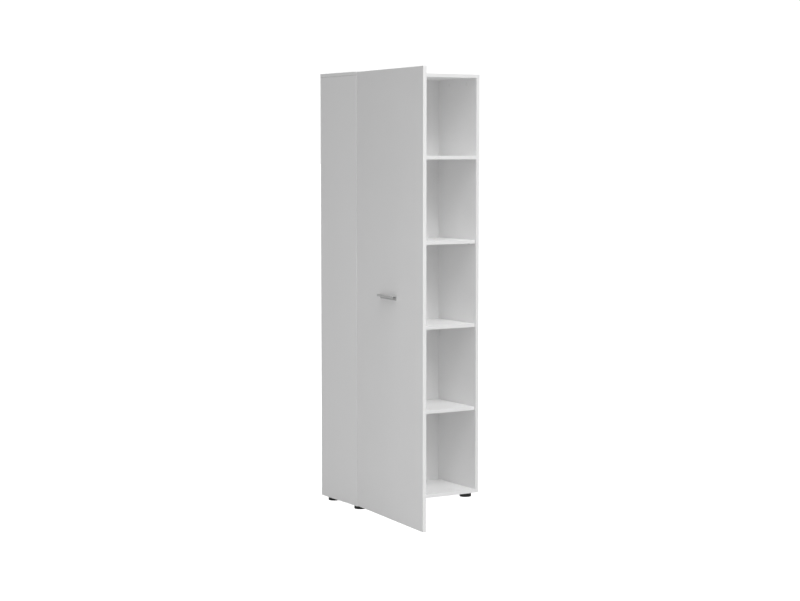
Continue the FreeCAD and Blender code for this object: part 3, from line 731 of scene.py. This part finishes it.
def foot_profile(radius, top):
    """From the bore at the top, down the outside and up into the recess for the screw head."""
    profile = [
        (FOOT_BORE, top),
        (radius - FOOT_TOP_EASE, top),
        (radius, top - FOOT_TOP_EASE),
    ]
    for step in range(FOOT_EASE_STEPS + 1):
        angle = step / FOOT_EASE_STEPS * QUARTER_TURN
        reach = radius - FOOT_EASE * (1 - math.cos(angle))
        profile.append((reach, FOOT_EASE * (1 - math.sin(angle))))
    recess = [(FOOT_SINK, 0), (FOOT_SINK, FOOT_SINK_DEPTH), (FOOT_BORE, FOOT_SINK_DEPTH)]
    return profile + recess


def add_feet():
    """Round glides with an eased lower edge and a recess for the screw head underneath."""
    for node in FEET:
        low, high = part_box(node)
        centre = Vector(((low[0] + high[0]) / 2, (low[1] + high[1]) / 2, 0))
        profile = foot_profile((high[0] - low[0]) / 2, high[2])
        mesh = bmesh.new()
        rings = turn_profile(mesh, centre, Z_AXIS, profile, FOOT_SIDES)
        join_rings(mesh, rings[-1], rings[0])
        add_piece(node + "_round", mesh, "carcass", node, "black_plastic")


def add_floor():
    """A pale floor that glows softly, and more where it is seen, as a lit white sweep does."""
    material, tree, shader = new_material("floor")
    speckle = noise(tree, scale=2, detail=2)
    tree.links.new(grey_ramp(tree, speckle, *FLOOR_GREYS), shader.inputs["Base Color"])
    shader.inputs["Roughness"].default_value = FLOOR_ROUGHNESS
    shader.inputs["Emission Color"].default_value = WHITE
    path = tree.nodes.new("ShaderNodeLightPath")
    glow = add_node(tree, "ShaderNodeMapRange", To_Min=FLOOR_GLOW, To_Max=FLOOR_SEEN_GLOW)
    tree.links.new(path.outputs["Is Camera Ray"], glow.inputs["Value"])
    tree.links.new(glow.outputs["Result"], shader.inputs["Emission Strength"])
    bpy.ops.mesh.primitive_plane_add(size=FLOOR_SIZE_M)
    floor = bpy.context.object
    floor.name = "floor"
    floor.data.materials.append(material)


def add_sky():
    """An even white surround: full white where it is seen, softer where it lights."""
    world = bpy.data.worlds.new("studio")
    bpy.context.scene.world = world
    world.use_nodes = True
    tree = world.node_tree
    seen = tree.nodes["Background"]
    seen.inputs["Color"].default_value = WHITE
    seen.inputs["Strength"].default_value = SKY_SEEN_STRENGTH
    lit = add_node(tree, "ShaderNodeBackground", Color=WHITE, Strength=SKY_STRENGTH)
    path = tree.nodes.new("ShaderNodeLightPath")
    mix = tree.nodes.new("ShaderNodeMixShader")
    tree.links.new(path.outputs["Is Camera Ray"], mix.inputs["Fac"])
    tree.links.new(lit.outputs["Background"], mix.inputs[1])
    tree.links.new(seen.outputs["Background"], mix.inputs[2])
    tree.links.new(mix.outputs["Shader"], tree.nodes["World Output"].inputs["Surface"])


def add_light(name, kind, strength, direction):
    """A light that shines in a direction; returns its object."""
    light = bpy.data.lights.new(name, kind)
    light.energy = strength
    lamp = bpy.data.objects.new(name, light)
    bpy.context.scene.collection.objects.link(lamp)
    lamp.rotation_euler = direction.to_track_quat("-Z", "Y").to_euler()
    return lamp


def add_lamp(name, place, target, size, watts):
    """A round soft lamp."""
    lamp = add_light(name, "AREA", watts, Vector(target) - Vector(place))
    lamp.data.shape = "DISK"
    lamp.data.size = size
    lamp.visible_camera = False
    lamp.location = place


def add_far_light(name, turn_deg, height_deg, strength):
    """An even light from far away, with soft shadows."""
    turn, height = math.radians(turn_deg), math.radians(height_deg)
    flat = math.cos(height)
    toward = Vector((math.sin(turn) * flat, -math.cos(turn) * flat, math.sin(height)))
    lamp = add_light(name, "SUN", strength, -toward)
    lamp.data.angle = math.radians(FAR_SOFTNESS_DEG)


def add_camera():
    """The photograph's camera."""
    data = bpy.data.cameras.new("camera")
    data.sensor_width = CAMERA_SENSOR_MM
    data.lens = CAMERA_LENS_MM
    data.shift_y = CAMERA_SHIFT_Y
    data.clip_end = CAMERA_REACH_M
    camera = bpy.data.objects.new("camera", data)
    bpy.context.scene.collection.objects.link(camera)
    camera.location = CAMERA_PLACE
    tilt, turn = math.radians(90 - CAMERA_TILT_DEG), math.radians(CAMERA_TURN_DEG)
    camera.rotation_euler = (tilt, 0, turn)
    bpy.context.scene.camera = camera


materials = make_materials()
dress_nodes()
add_fittings()
add_feet()
add_floor()
add_sky()
for row in LAMPS:
    add_lamp(*row)
for row in FAR_LIGHTS:
    add_far_light(*row)
add_camera()
bpy.context.scene.view_settings.view_transform = "Standard"
